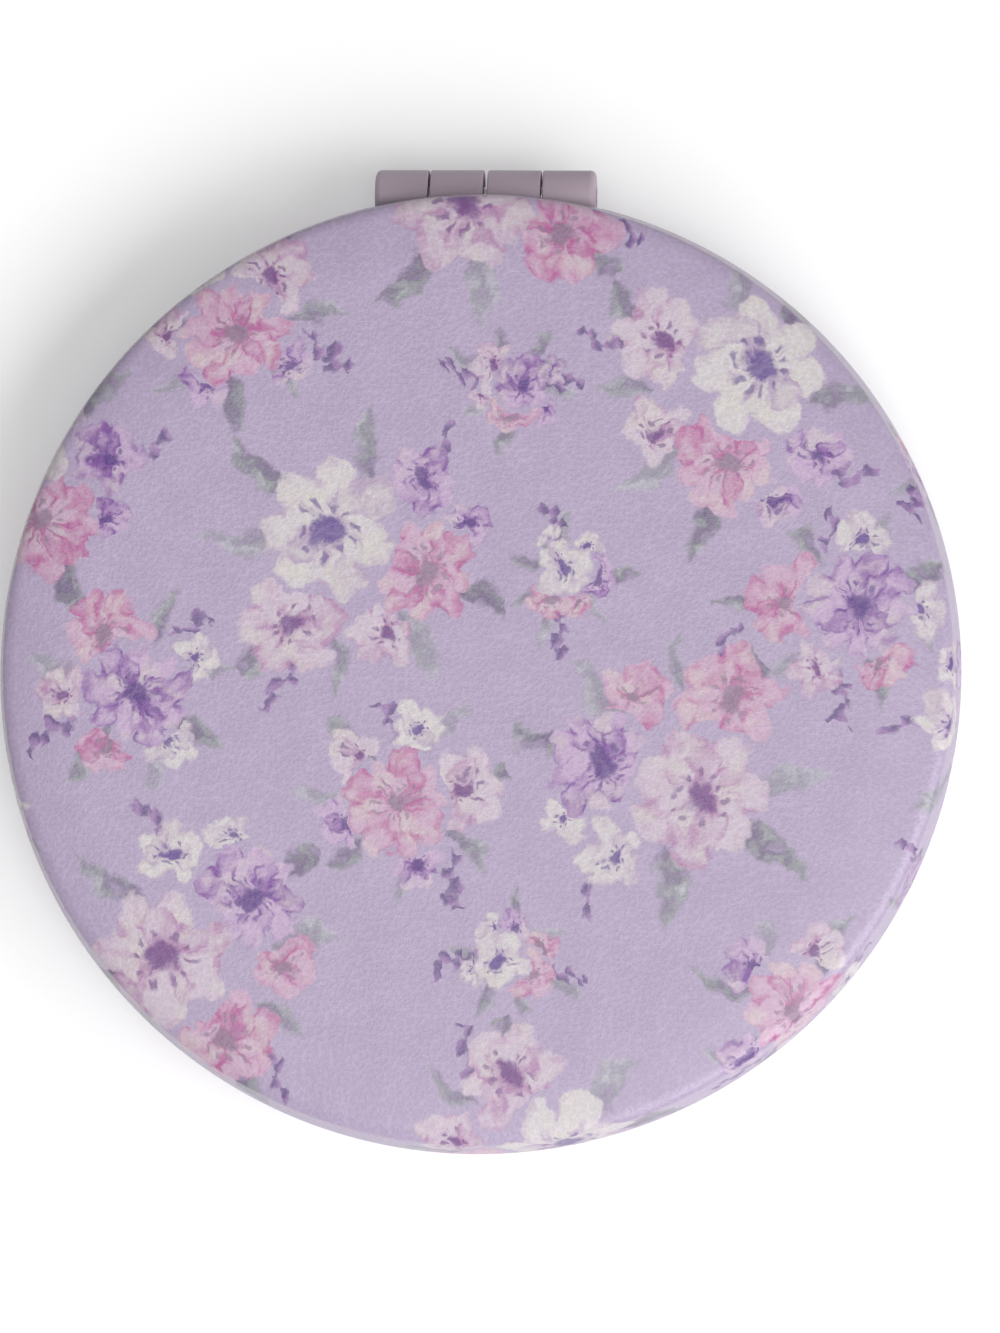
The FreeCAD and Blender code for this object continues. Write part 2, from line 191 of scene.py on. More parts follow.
def moulded_plastic(name, light, dark, tooth, roughness):
    """Moulded plastic with the mould's tooth, of a size in metres, and a faint drift of colour."""
    material, ink, inputs = new_finish(name, IOR=1.5)
    place = ink.node("ShaderNodeTexCoord", {}, {}, "Object")
    drift = ink.noise(place, MELT_DRIFTS, 3.0)
    grit = ink.noise(place, 1 / tooth, 2.0)
    tone = drift * (1 - GRIT_SHARE) + grit * GRIT_SHARE
    feed(inputs, Base_Color=ink.mix(tone.rise(0.3, 0.7), dark, light),
         Roughness=roughness + (grit - 0.5) * 0.18, Normal=ink.bump(grit, 0.25, tooth * 0.3))
    return material


cap_light, cap_dark = tint(176, 163, 178), tint(160, 147, 163)
cap_plastic = moulded_plastic("cap_plastic", cap_light, cap_dark, CAP_TOOTH, CAP_ROUGHNESS)
for half in HALVES:
    coat_node(f"{half}_cap", cap_plastic)

# Padding: a thin disc of white open-cell foam between each cap and its cover.
# It is die cut, so its edge is straight, and the cover draws its rim down into a soft shoulder.

LEATHER_THICKNESS = 0.0005
SHOULDER_WIDTH = 0.0051
SHOULDER_RADIUS = 0.040
ROLL_WIDTH = 0.0007
ROLL_RADIUS = 0.0019
EDGE_RADIUS = 0.0006
WALL_SLOPE = 0.21
FOLD_RADIUS = 0.0005
ROUND_STEPS = 192
FIELD_STEPS = 6
SHARP_BEND = math.radians(40)
PORES = 3500.0
PORE_DEPTH = 0.0001
YELLOWED_DRIFTS = 120.0
case_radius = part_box("lid_leather")[1].x
case_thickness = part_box("lid_leather")[1].z
cover_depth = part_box("base_leather")[1].z
shoulder_angle = math.asin(SHOULDER_WIDTH / SHOULDER_RADIUS)
roll_angle = math.asin(SHOULDER_WIDTH / SHOULDER_RADIUS + ROLL_WIDTH / ROLL_RADIUS)
wall_angle = math.pi / 2 - math.atan(WALL_SLOPE)
roll_level = SHOULDER_RADIUS - (SHOULDER_RADIUS - ROLL_RADIUS) * math.cos(shoulder_angle)
edge_level = roll_level - (ROLL_RADIUS - EDGE_RADIUS) * math.cos(roll_angle)
fold_level = cover_depth - FOLD_RADIUS
wall_height = fold_level - edge_level + EDGE_RADIUS * math.cos(wall_angle)
edge_centre = case_radius - EDGE_RADIUS * math.sin(wall_angle) - wall_height * WALL_SLOPE
roll_centre = edge_centre - (ROLL_RADIUS - EDGE_RADIUS) * math.sin(roll_angle)
field_radius = roll_centre - (SHOULDER_RADIUS - ROLL_RADIUS) * math.sin(shoulder_angle)
shoulder_middle = (field_radius, SHOULDER_RADIUS)


def arc(centre, radius, first, last, steps):
    """Points of a section's arc, by the angle from straight out of the face towards the rim."""
    turns = [first + (last - first) * i / steps for i in range(steps + 1)]
    return [(centre[0] + radius * math.sin(a), centre[1] - radius * math.cos(a)) for a in turns]


def line(start, end, steps):
    """Points of a section's straight stretch, without its first."""
    return [tuple(a + (b - a) * i / steps for a, b in zip(start, end)) for i in range(1, steps + 1)]


def in_half(half, radius, turn, depth):
    """A point of a half, by its radius, its turn from the hinge and its depth from the outer face."""
    height = depth if half == "base" else case_thickness - depth
    return (radius * math.sin(turn), radius * math.cos(turn), height)


def add_piece(name, points, faces, material, body):
    """A new mesh piece with its finish, riding on a body."""
    mesh = bpy.data.meshes.new(name)
    mesh.from_pydata(points, [], faces)
    mesh.validate()
    mesh.materials.append(material)
    mesh.shade_smooth()
    mesh.set_sharp_from_angle(angle=SHARP_BEND)
    piece = bpy.data.objects.new(name, mesh)
    bpy.context.scene.collection.objects.link(piece)
    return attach(piece, body)


def foam(name):
    """White open-cell foam: small pores with painted shade in them, and a slightly yellowed drift."""
    material, ink, inputs = new_finish(name, Roughness=0.95)
    place = ink.node("ShaderNodeTexCoord", {}, {}, "Object")
    pores = ink.node("ShaderNodeTexVoronoi", {}, {"Vector": place, "Scale": PORES}, "Distance")
    drift = ink.noise(place, YELLOWED_DRIFTS)
    clean = ink.mix(drift.rise(0.35, 0.65), tint(236, 234, 226), tint(243, 243, 240))
    # The grey where a pore lies is painted shade in its hollow; the bump presses the same pores in.
    feed(inputs, Base_Color=ink.mix(pores.rise(0.25, 0.05), clean, tint(196, 194, 188)),
         Normal=ink.bump(pores, 0.6, PORE_DEPTH))
    return material


def turned_disc(name, half, section, material):
    """A disc turned from the section between its two centres, from the outer side to the inner."""
    points = [in_half(half, 0, 0, section[0][1]), in_half(half, 0, 0, section[-1][1])]
    turns = [2 * math.pi * i / ROUND_STEPS for i in range(ROUND_STEPS)]
    rings = section[1:-1]
    points += [in_half(half, r, turn, depth) for turn in turns for r, depth in rings]
    faces = []
    for column in range(ROUND_STEPS):
        here = 2 + column * len(rings)
        after = 2 + (column + 1) % ROUND_STEPS * len(rings)
        faces.append((0, here, after))
        faces += [(here + i, here + i + 1, after + i + 1, after + i) for i in range(len(rings) - 1)]
        faces.append((here + len(rings) - 1, 1, after + len(rings) - 1))
    if half == "lid":
        faces = [face[::-1] for face in faces]
    return add_piece(name, points, faces, material, half)


padding_foam = foam("padding_foam")
backing_radius = SHOULDER_RADIUS - LEATHER_THICKNESS
for half in HALVES:
    low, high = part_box(f"{half}_padding")
    foam_rim = high.x
    foam_depth = LEATHER_THICKNESS + high.z - low.z
    rim_angle = math.asin((foam_rim - field_radius) / backing_radius)
    foam_section = [(field_radius * i / FIELD_STEPS, LEATHER_THICKNESS) for i in range(FIELD_STEPS)]
    foam_section += arc(shoulder_middle, backing_radius, 0, rim_angle, 10)
    foam_section += line(foam_section[-1], (foam_rim, foam_depth), 4)
    foam_section += line(foam_section[-1], (0, foam_depth), FIELD_STEPS)
    padding = turned_disc(f"{half}_foam_disc", half, foam_section, padding_foam)
    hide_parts(f"{half}_padding")

# Covers: one round of coated leather on each half, printed before it was cut, stretched over the
# foam and the cap, folded round the wall's end and glued down inside as a skived hem. The wall is
# cut away where the hinge barrel passes. The grain is fine and the top coat a soft satin.

HEM_THICKNESS = 0.00035
HEM_LENGTH = 0.001
CAP_WALL = 0.001
NOTCH_CLEARANCE = 0.0004
FACE_STEPS = 8
BACK_STEPS = 4
barrel_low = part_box("lid_frame")[0].z
notch_depth = barrel_low - NOTCH_CLEARANCE
notch_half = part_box("hinge_pin")[1].x + 2 * NOTCH_CLEARANCE
notch_turn = math.asin(notch_half / (case_radius - LEATHER_THICKNESS))
hem_outer = case_radius - LEATHER_THICKNESS - CAP_WALL
hem_inner = hem_outer - HEM_THICKNESS
hem_end = cover_depth - HEM_LENGTH
wall_end = cover_depth - LEATHER_THICKNESS
fold_middle = (case_radius - FOLD_RADIUS, fold_level)
bends = (
    (shoulder_middle, SHOULDER_RADIUS, 0, shoulder_angle, 12),
    ((roll_centre, roll_level), ROLL_RADIUS, shoulder_angle, roll_angle, 6),
    ((edge_centre, edge_level), EDGE_RADIUS, roll_angle, wall_angle, 12),
)


def wall_point(start, depth):
    """The point of the leaning side wall at a depth, from the wall's start."""
    return (start[0] + (depth - start[1]) * WALL_SLOPE, depth)


# The section runs from the centre over the face to the notch's depth, then round the fold and the
# hem, and back along the glued side.
face_side = [(field_radius * i / FACE_STEPS, 0) for i in range(1, FACE_STEPS + 1)]
for middle, radius, first, last, steps in bends:
    face_side += arc(middle, radius, first, last, steps)[1:]
face_side += line(face_side[-1], wall_point(face_side[-1], notch_depth), 4)
turned_in = line(face_side[-1], (case_radius, fold_level), 3)
turned_in += arc(fold_middle, FOLD_RADIUS, math.pi / 2, math.pi, 6)[1:]
turned_in += line(turned_in[-1], (hem_inner, cover_depth), 3)
turned_in += line(turned_in[-1], (hem_inner, hem_end), 2)
last_printed = len(face_side) + len(turned_in) - 1
turned_in += line(turned_in[-1], (hem_outer, hem_end), 1)
turned_in += line(turned_in[-1], (hem_outer, wall_end), 1)
back_bends = []
for middle, radius, first, last, steps in reversed(bends):
    back_bend = arc(middle, radius - LEATHER_THICKNESS, last, first, steps // 2)
    back_bends += back_bend[1:] if back_bends else back_bend
turned_in += line(turned_in[-1], wall_point(back_bends[0], wall_end), 1)
back_side = line(turned_in[-1], wall_point(back_bends[0], notch_depth), 1)
back_side += line(back_side[-1], back_bends[0], 3) + back_bends[1:]
back_side += [(field_radius * i / BACK_STEPS, LEATHER_THICKNESS) for i in range(BACK_STEPS - 1, 0, -1)]

section = face_side + turned_in + back_side
first_turned_in = len(face_side)
first_back = first_turned_in + len(turned_in)
reaches = [section[0][0]]
for (r0, z0), (r1, z1) in zip(section, section[1:]):
    reaches.append(reaches[-1] + math.hypot(r1 - r0, z1 - z0))
cut_radius = reaches[last_printed]

# Bouquets of the print: centre in millimetres on the cut round, turn in degrees, and which of the
# three designs: 0 large, 1 middling, 2 a small posy. Each design reaches so many millimetres.
BOUQUETS = (
    (-9.0, 8.5, 15, 0), (14.5, -8.0, 200, 0), (19.0, 20.0, 290, 0), (-20.0, -20.5, 75, 0),
    (-34.0, 15.0, 330, 0), (41.0, -5.0, 140, 0), (5.0, -36.0, 250, 0), (0.0, 35.5, 110, 0),
    (-4.5, -9.5, 160, 1), (-25.0, -1.5, 265, 1), (-17.5, 25.0, 205, 1), (26.5, 4.5, 320, 1),
    (24.0, -25.0, 95, 1), (6.5, 6.5, 40, 2), (2.5, 20.5, 300, 2), (3.0, -21.0, 120, 2),
    (34.0, 15.5, 170, 2), (-36.0, -12.0, 20, 2), (34.5, -17.0, 60, 2),
)
BOUQUET_REACH = (11.0, 7.0, 4.5)
# Flowers from the back to the front, a row for the large, the middling and the small design:
# x, y and radius in millimetres, petals, palette, turn in degrees.
FLOWERS = (
    ((6.2, 3.6, 2.6, 5, 3, 0), (4.0, 3.3, 2.3, 5, 3, 15), (0.8, 2.7, 1.3, 5, 3, 10)),
    ((0.6, -6.6, 2.7, 5, 1, 25), (-2.2, 4.4, 2.0, 5, 3, 0), (-0.4, -2.3, 1.2, 5, 1, 0)),
    ((8.4, -0.2, 1.9, 5, 3, 35), (1.2, -4.8, 2.2, 5, 0, 45), (2.6, 0.5, 1.2, 5, 3, 0)),
    ((-5.6, -4.2, 4.1, 6, 1, 40), (4.8, -1.4, 2.1, 5, 1, 60), (1.7, -1.3, 1.6, 5, 2, 50)),
    ((4.6, -2.9, 4.2, 9, 2, 5), (-3.5, -2.1, 3.4, 6, 1, 20), (-1.7, -0.7, 1.9, 5, 1, 0)),
    ((-1.3, 1.8, 5.5, 7, 0, 10), (0.7, 0.7, 4.2, 9, 2, 0), (0.3, 0.8, 2.2, 5, 3, 30)),
)
# The two whorls of a flower: reach as a share of its radius, and shift in petals.
WHORLS = ((0.98, 0.0), (0.66, 0.5))
WET_EDGE = 0.19
STAMEN_RING = 0.33
# Palettes: cream, blush, rose pink, violet.
PETAL_PALE = (tint(206, 200, 201), tint(200, 185, 198), tint(197, 166, 188), tint(191, 166, 196))
PETAL_DEEP = (tint(176, 156, 180), tint(172, 132, 168), tint(174, 100, 149), tint(124, 80, 150))
PETAL_HEART = (tint(88, 62, 134), tint(108, 66, 126), tint(138, 116, 138), tint(86, 56, 124))
PALETTES = len(PETAL_PALE)
# Leaves in such rows: x and y of the stalk and length in millimetres, heading in degrees,
# shade from 0, deep, to 1, pale, and width as a share of the length.
LEAVES = (
    ((-3.0, 4.6, 6.4, 122, 0.2, 0.17),
     (-3.2, 1.2, 4.8, 155, 0.4, 0.17),
     (-0.6, 1.4, 3.4, 120, 0.3, 0.17)),
    ((-4.8, 2.2, 5.8, 165, 0.8, 0.18),
     (2.2, 3.4, 4.8, 65, 0.2, 0.16),
     (1.2, 1.4, 3.2, 40, 0.7, 0.18)),
    ((2.4, 4.0, 6.2, 74, 0.4, 0.15),
     (3.2, -1.6, 5.0, -28, 0.3, 0.17),
     (2.0, -1.4, 3.0, -42, 0.2, 0.17)),
    ((6.4, -4.6, 5.4, -42, 0.1, 0.17),
     (-0.2, -3.6, 4.6, -108, 0.8, 0.18),
     (-2.2, -1.2, 3.2, 205, 0.6, 0.18)),
    ((2.0, -5.4, 5.6, -72, 0.7, 0.17),
     (-1.0, 3.8, 4.2, 102, 0.6, 0.16),
     (0.2, -1.6, 3.0, -95, 0.8, 0.17)),
    ((-7.4, -5.0, 4.8, 208, 0.3, 0.18),
     (-4.8, -3.4, 3.8, 218, 0.2, 0.18),
     (0.0, 0.8, 2.8, 80, 0.5, 0.18)),
    ((-2.6, -5.6, 4.6, 250, 0.5, 0.16),
     (4.6, 1.6, 4.0, 15, 0.9, 0.17),
     (-2.0, 0.6, 2.6, 165, 0.4, 0.18)),
)
LEAF_TONES = ((0.0, tint(92, 74, 112)), (0.25, tint(114, 106, 126)), (0.55, tint(138, 142, 144)),
              (1.0, tint(178, 180, 184)))
# Berry twigs in such rows: x, y and length in millimetres, heading in degrees and bend.
TWIGS = (
    ((5.6, 1.8, 6.2, 42, 0.25), (-3.6, 2.2, 4.8, 128, -0.25), (1.6, 1.6, 3.6, 66, 0.3)),
    ((-4.2, -5.8, 5.8, 232, -0.3), (2.6, -3.4, 5.0, -62, 0.25), (-1.4, -1.6, 3.4, 236, -0.3)),
)
BERRIES = 6
BERRY_OFFSET = 0.34


def by_palette(ink, palette, colours):
    """The colour that a palette's number stands for."""
    stops = [(i / len(colours), colour) for i, colour in enumerate(colours)]
    middle = (palette + 0.5) / len(colours)
    return ink.node("ShaderNodeValToRGB", {"stops": ("CONSTANT", stops)}, {"Fac": middle}, "Color")


def by_design(ink, is_middling, is_small, choices):
    """A vector of numbers that differs between the three designs."""
    large, middling, small = choices
    return ink.mix(is_small, ink.mix(is_middling, large, middling, "VECTOR"), small, "VECTOR")


def turned(ink, place, turn):
    """A place turned round the middle of its own axes."""
    return ink.node("ShaderNodeVectorRotate", {"rotation_type": "Z_AXIS"},
                    {"Vector": place, "Angle": turn})


def from_point(ink, place, where):
    """The way from a point, whose third number is a size, and that size."""
    off = place.vector("MULTIPLY", place.vector("SUBTRACT", place, where), (1, 1, 0))
    return off, where.parts()[2]


def nearest_bouquet(ink, place):
    """The place in the nearest bouquet's own axes, that bouquet's design and its number."""
    nearest, local, manner = None, None, None
    for number, (x, y, turn, design) in enumerate(BOUQUETS):
        off = place.vector("SUBTRACT", place, (x, y, 0))
        gap = off.vector("LENGTH", off) - BOUQUET_REACH[design]
        this = (-math.radians(turn), design, number)
        if nearest is None:
            nearest, local, manner = gap, off, this
            continue
        closer = gap < nearest
        local = ink.mix(closer, local, off, "VECTOR")
        manner = ink.mix(closer, manner, this, "VECTOR")
        nearest = ink.math("MINIMUM", nearest, gap)
    turn, design, number = manner.parts()
    return turned(ink, local, turn), design, number


def front_flower(ink, place, is_middling, is_small):
    """The flower in front here: the place in it, its petals, palette and turn, and its radius."""
    local, look, radius = None, None, None
    for row in FLOWERS:
        where = by_design(ink, is_middling, is_small, [f[:3] for f in row])
        this = by_design(ink, is_middling, is_small, [(f[3], f[4], math.radians(f[5])) for f in row])
        off, size = from_point(ink, place, where)
        if local is None:
            local, look, radius = off, this, size
            continue
        in_front = off.vector("LENGTH", off) / size < 0.97
        local = ink.mix(in_front, local, off, "VECTOR")
        look = ink.mix(in_front, look, this, "VECTOR")
        radius = ink.mix(in_front, radius, size, "FLOAT")
    return local, look, radius


def flowers(ink, place, is_middling, is_small, number, wash, mottle):
    """Colour and cover of the flowers: two whorls of petals, a dark or pale heart, a ring of stamens."""
    local, look, radius = front_flower(ink, place, is_middling, is_small)
    petals, palette, turn = look.parts()
    palette = (palette + number % 2) % PALETTES
    x, y, _ = local.parts()
    out = local.vector("LENGTH", local) / radius
    along = (ink.math("ARCTAN2", y, x) + turn + number) * petals / (2 * math.pi) + 40
    soft = WET_EDGE / radius
    creamed = mottle.rise(0.48, 0.66) * 0.4
    pale = ink.mix(creamed, by_palette(ink, palette, PETAL_PALE), tint(205, 199, 188))
    deep = by_palette(ink, palette, PETAL_DEEP)
    heart = by_palette(ink, palette, PETAL_HEART)
    streaked = ink.node("ShaderNodeCombineXYZ", {}, {"X": along * 3, "Y": out * 1.5, "Z": number})
    streak = ink.noise(streaked, 1.0, 2.0)
    brush = (wash - 0.5) * 1.3 + (streak - 0.5) * 0.7
    colour, cover = pale, None
    for reach, shift in WHORLS:
        turnwise = along + shift
        petal = math.floor(turnwise)
        across = abs(ink.math("FRACT", turnwise) - 0.5) * 2
        seed = ink.node("ShaderNodeCombineXYZ", {}, {"X": petal, "Y": number + shift})
        own = ink.node("ShaderNodeTexWhiteNoise", {"noise_dimensions": "2D"}, {"Vector": seed}, "Value")
        tip = (1 - across * across * 0.27) * (own * 0.18 + (reach - 0.13))
        inside = tip - out
        shape = inside.rise(-soft, soft)
        pool = inside.rise(0.24, 0.02) * 0.22
        throat = (out / tip).rise(0.8, 0.1) * 0.6
        crease = across.rise(0.55, 1.0) * 0.4
        tone = pool + throat + crease + brush + (own - 0.3) * 0.6
        painted = ink.mix(tone.rise(0.0, 1.0), pale, deep)
        colour = painted if cover is None else ink.mix(shape, colour, painted)
        cover = shape if cover is None else cover
    stamens = ink.math("SINE", along * 9.0).rise(0.1, 0.8) * abs(out - STAMEN_RING).rise(0.09, 0.02)
    button = (out + (streak - 0.5) * 0.2).rise(0.26, 0.14)
    colour = ink.mix(ink.math("MAXIMUM", stamens * 0.7, button * 0.88), colour, heart)
    return colour, cover * (0.84 + wash.rise(0.35, 0.6) * 0.14)


def leaves(ink, place, is_middling, is_small, wash):
    """Colour and cover of the leaves: a blade with a midrib, plum at the stalk and pale at the tip."""
    best, blade, look = None, None, None
    for row in LEAVES:
        where = by_design(ink, is_middling, is_small, [leaf[:3] for leaf in row])
        this = by_design(ink, is_middling, is_small,
                         [(-math.radians(leaf[3]), leaf[4], leaf[5]) for leaf in row])
        heading, _, width = this.parts()
        off, length = from_point(ink, place, where)
        along, side, _ = turned(ink, off, heading).parts()
        share = along / length
        room = share * (1 - share) * length
        side = side - room * 0.35
        inside = room * width * (5 - share * 2) - abs(side)
        this_blade = ink.node("ShaderNodeCombineXYZ", {}, {"X": share, "Y": side, "Z": inside})
        if best is None:
            best, blade, look = inside, this_blade, this
            continue
        nearer = inside > best
        blade = ink.mix(nearer, blade, this_blade, "VECTOR")
        look = ink.mix(nearer, look, this, "VECTOR")
        best = ink.math("MAXIMUM", best, inside)
    share, side, inside = blade.parts()
    shade = look.parts()[1]
    cover = inside.rise(-0.2, 0.34)
    midrib = abs(side).rise(0.17, 0.03) * share.rise(1.0, 0.3)
    tone = side.rise(-0.3, 0.5) * 0.25 + (wash - 0.5) * 1.6 + share * 0.45 + shade * 0.5
    colour = ink.node("ShaderNodeValToRGB", {"stops": ("EASE", LEAF_TONES)}, {"Fac": tone - 0.08}, "Color")
    colour = ink.mix(midrib * 0.4, colour, tint(104, 92, 120))
    return colour, cover * (1 - shade * 0.4) * (wash.rise(0.25, 0.5) * 0.6 + 0.4)


def twig(ink, place, is_middling, is_small, row):
    """Colour and cover of a twig: a thin bent stalk with plum berries on alternate sides."""
    where = by_design(ink, is_middling, is_small, [t[:3] for t in row])
    bent = by_design(ink, is_middling, is_small, [(-math.radians(t[3]), t[4], 0) for t in row])
    heading, bend, _ = bent.parts()
    off, length = from_point(ink, place, where)
    along, side, _ = turned(ink, off, heading).parts()
    share = along / length
    side = side - share * share * bend * length
    within = share.rise(0.0, 0.05) * share.rise(1.04, 0.98)
    stalk = abs(side).rise(0.24, 0.04) * within * 0.7
    step = share * BERRIES
    left = math.floor(step) % 2 * 2 - 1
    from_middle = (ink.math("FRACT", step) - 0.5) * length / BERRIES
    from_stalk = side - left * BERRY_OFFSET
    gap = ink.math("SQRT", from_middle * from_middle * 0.5 + from_stalk * from_stalk)
    berry = gap.rise(0.5, 0.22) * (share > 0.2) * (share < 1.0)
    lit = (from_middle + from_stalk).rise(-0.3, 0.4)
    colour = ink.mix(lit, tint(88, 62, 120), tint(148, 112, 162))
    return colour, ink.math("MAXIMUM", stalk, berry * 0.82)


def watercolour(ink, place):
    """The printed colour at a place on the cut round, in millimetres, where wet edges sway a little."""
    sway = ink.noise(place, 0.36, 2.0, "Color", "2D")
    quiver = ink.noise(place, 1.7, 2.0, "Color", "2D")
    wet = place.vector("MULTIPLY_ADD", sway, (2.2, 2.2, 0), place)
    wet = place.vector("MULTIPLY_ADD", quiver, (0.5, 0.5, 0), wet)
    wet = place.vector("SUBTRACT", wet, (1.35, 1.35, 0))
    wash = ink.noise(wet, 0.8, 4.0, dimensions="2D")
    local, design, number = nearest_bouquet(ink, wet)
    designs = (design > 0.5, design > 1.5)
    mottle = ink.noise(place, 0.35, 4.0, dimensions="2D")
    colour = ink.mix(mottle.rise(0.3, 0.7), tint(171, 156, 183), tint(175, 160, 187))
    leaf_colour, leaf_cover = leaves(ink, local, *designs, wash)
    colour = ink.mix(leaf_cover * 0.88, colour, leaf_colour)
    for row in TWIGS:
        twig_colour, twig_cover = twig(ink, local, *designs, row)
        colour = ink.mix(twig_cover, colour, twig_colour)
    flower_colour, flower_cover = flowers(ink, local, *designs, number, wash, mottle)
    return ink.mix(flower_cover, colour, flower_colour)


# Grain of the leather, in forms per millimetre, the height it is pressed in metres, and the gloss
# of its top coat.
PEBBLES = 2.6
FINE_GRAIN = 4.5
WRINKLES = 2.4
GRAIN_HEIGHT = 0.00006
SATIN = 0.32


def printed_leather(name):
    """Coated leather: a lilac ground, a watercolour print of loose bouquets, a fine grain."""
    material, ink, inputs = new_finish(name, IOR=1.48)
    cut = ink.node("ShaderNodeAttribute", {"attribute_name": "cut_place"}, {}, "Vector")
    place = cut.vector("MULTIPLY", cut, (1, 1, 0))
    colour = watercolour(ink, place)
    pebble = ink.node("ShaderNodeTexVoronoi", {"feature": "SMOOTH_F1", "voronoi_dimensions": "2D"},
                      {"Vector": place, "Scale": PEBBLES, "Smoothness": 0.4}, "Distance")
    fine = ink.noise(place, FINE_GRAIN, 3.0, dimensions="2D")
    wrinkle = abs(ink.noise(place, WRINKLES, 2.0, dimensions="2D") - 0.5).rise(0.07, 0.0)
    grain = pebble * 0.5 + fine * 0.6 + wrinkle * 0.25
    shaded = ink.mix(grain.rise(0.4, 0.85), (0.93, 0.93, 0.93, 1), (1.05, 1.05, 1.05, 1))
    colour = ink.node("ShaderNodeMix", {"data_type": "RGBA", "blend_type": "MULTIPLY"},
                      {"Factor": 1.0, "A": colour, "B": shaded})
    is_back = cut.parts()[2]
    colour = ink.mix(is_back, colour, tint(214, 208, 204))
    feed(inputs, Base_Color=colour, Roughness=SATIN + (fine - 0.5) * 0.22,
         Normal=ink.bump(grain, 0.4, GRAIN_HEIGHT))
    return material


leather_finish = printed_leather("printed_leather")
PRINT_TURN = {"lid": 0.0, "base": math.radians(205)}
MM_PER_METRE = 1000
NOTCH_STEPS = 24
notch_turns = [notch_turn * (2 * i / NOTCH_STEPS - 1) for i in range(NOTCH_STEPS + 1)]
rest_turn = 2 * math.pi - 2 * notch_turn
rest_turns = [notch_turn + rest_turn * i / ROUND_STEPS for i in range(1, ROUND_STEPS)]
turns = notch_turns + rest_turns
whole_reach = reaches[-1] + section[-1][0]
back_reach = whole_reach - reaches[first_turned_in - 1]

# The flat layout, on a square of 1: the printed round, the round of the back, and the two cuts
# beside the notch.
PRINT_MIDDLE = (0.4, 0.6)
PRINT_SPAN = 0.39
BACK_MIDDLE = (0.89, 0.11)
BACK_SPAN = 0.1
CUT_CORNER = (0.90, 0.80)
CUT_SCALE = 20
CUT_SHIFT = 0.06


def round_spot(middle, reach, turn):
    """A place on a round of the flat layout."""
    return (middle[0] + reach * math.sin(turn), middle[1] + reach * math.cos(turn))


def lay_flat(cover):
    """Lays the cover out flat for its pictures: the printed side large, the back and the cuts small."""
    layout = cover.data.uv_layers.new(name="OFBake")
    for face in cover.data.polygons:
        columns = [(vertex - 2) // len(section) for vertex in face.vertices]
        steps = [(vertex - 2) % len(section) for vertex in face.vertices]
        ring_steps = [step for step, vertex in zip(steps, face.vertices) if vertex > 1]
        for loop, vertex, column, step in zip(face.loop_indices, face.vertices, columns, steps):
            if len(face.vertices) > 4:
                r, depth = section[step]
                spot = (CUT_CORNER[0] + CUT_SCALE * (r - hem_inner),
                        CUT_CORNER[1] + CUT_SCALE * depth + CUT_SHIFT * (column > 0))
            elif max(ring_steps) <= last_printed:
                reach = PRINT_SPAN * reaches[step] / cut_radius if vertex > 1 else 0
                spot = round_spot(PRINT_MIDDLE, reach, turns[column])
            else:
                reach = BACK_SPAN * (whole_reach - reaches[step]) / back_reach if vertex > 1 else 0
                spot = round_spot(BACK_MIDDLE, reach, turns[column])
            layout.data[loop].uv = spot


for half in HALVES:
    points = [in_half(half, 0, 0, 0), in_half(half, 0, 0, LEATHER_THICKNESS)]
    cut_places = [(0, 0, 0), (0, 0, 1)]
    for turn in turns:
        printed_turn = turn + PRINT_TURN[half]
        for step, ((r, depth), reach) in enumerate(zip(section, reaches)):
            points.append(in_half(half, r, turn, depth))
            side = 0 if step <= last_printed else 1
            out = MM_PER_METRE * reach
            cut_places.append((out * math.sin(printed_turn), out * math.cos(printed_turn), side))
    faces = []
    for column in range(len(turns)):
        here = 2 + column * len(section)
        after = 2 + (column + 1) % len(turns) * len(section)
        steps = list(range(len(section)))
        if column < NOTCH_STEPS:
            steps = steps[:first_turned_in] + steps[first_back:]
        faces.append((0, here, after))
        faces += [(here + a, here + b, after + b, after + a) for a, b in zip(steps, steps[1:])]
        faces.append((here + len(section) - 1, 1, after + len(section) - 1))
    around_cut = range(first_turned_in - 1, first_back + 1)
    faces.append([2 + i for i in around_cut])
    faces.append([2 + NOTCH_STEPS * len(section) + i for i in reversed(around_cut)])
    if half == "lid":
        faces = [face[::-1] for face in faces]
    cover = add_piece(f"{half}_cover", points, faces, leather_finish, half)
    attribute = cover.data.attributes.new("cut_place", "FLOAT_VECTOR", "POINT")
    attribute.data.foreach_set("vector", [c for place in cut_places for c in place])
    lay_flat(cover)
    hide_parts(f"{half}_leather")
    2 * cut_radius
    2 * cut_radius
    math.pi * cut_radius ** 2

# Magnets: one small disc of nickel-plated neodymium in the front of each half, facing the other,
# so that the case snaps shut. Each is glued into the boss of its frame.


def nickel(name):
    """Nickel plate: warm white metal, softly clouded."""
    material, ink, inputs = new_finish(name, Metallic=1.0)
    place = ink.node("ShaderNodeTexCoord", {}, {}, "Object")
    cloud = ink.noise(place, 900.0, 3.0)
    feed(inputs, Base_Color=ink.mix(cloud, tint(196, 192, 184), tint(216, 213, 206)),
         Roughness=0.18 + cloud * 0.2)
    return material


magnet_nickel = nickel("magnet_nickel")
for half in HALVES:
    coat_node(f"{half}_magnet", magnet_nickel)

# Frames: one mauve ABS moulding in each half, which holds the mirror in its pocket, closes the
# cover's hem under its flange and carries two of the four hinge knuckles. It is pressed into the
# covered cap and glued, and its mould is finer than the cap's, because it shows.

